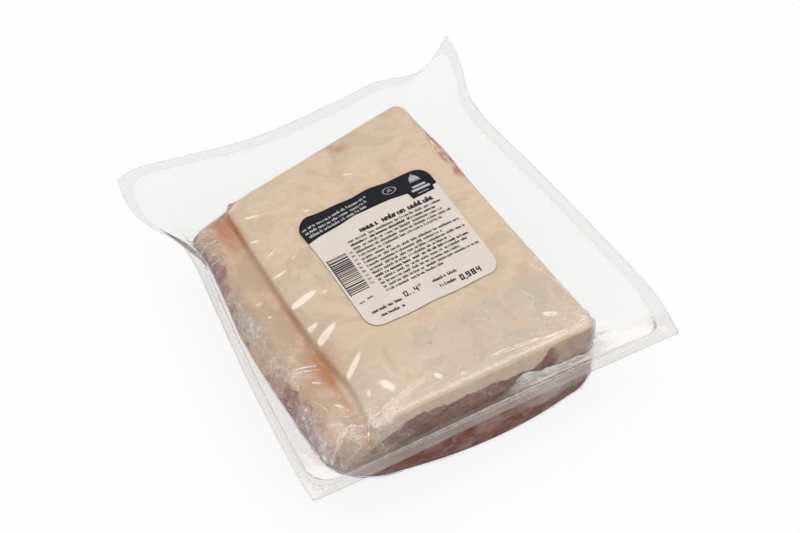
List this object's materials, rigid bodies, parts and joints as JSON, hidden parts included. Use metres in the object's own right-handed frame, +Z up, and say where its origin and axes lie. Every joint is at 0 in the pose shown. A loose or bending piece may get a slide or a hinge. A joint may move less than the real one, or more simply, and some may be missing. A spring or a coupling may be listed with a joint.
{
  "type": "vacuum-packed pork loin",
  "caption": "Slab of pork loin with its fat side up, vacuum packed between two clear films sealed in a flat eared border, with a paper label on top. Lies flat on its underside.",
  "frame": {"origin": "on the table, under the middle of the film's outline", "axes": "+X along the film's front edge from left to right, +Y from the front edge to the back edge, +Z up"},
  "size_m": [0.2028, 0.2277, 0.0488],
  "materials": {
    "wrapped_loin": "glossy clear film clinging to pale fat",
    "label_paper": "coated white paper",
    "film": "clear glossy film",
    "fat": "smooth moist fat",
    "lean": "moist raw meat",
    "label_print": "dark matt ink"
  },
  "bodies": {
    "root": {"sealed_pack": "wrapped_loin", "label": "label_paper"}
  },
  "joints": []
}
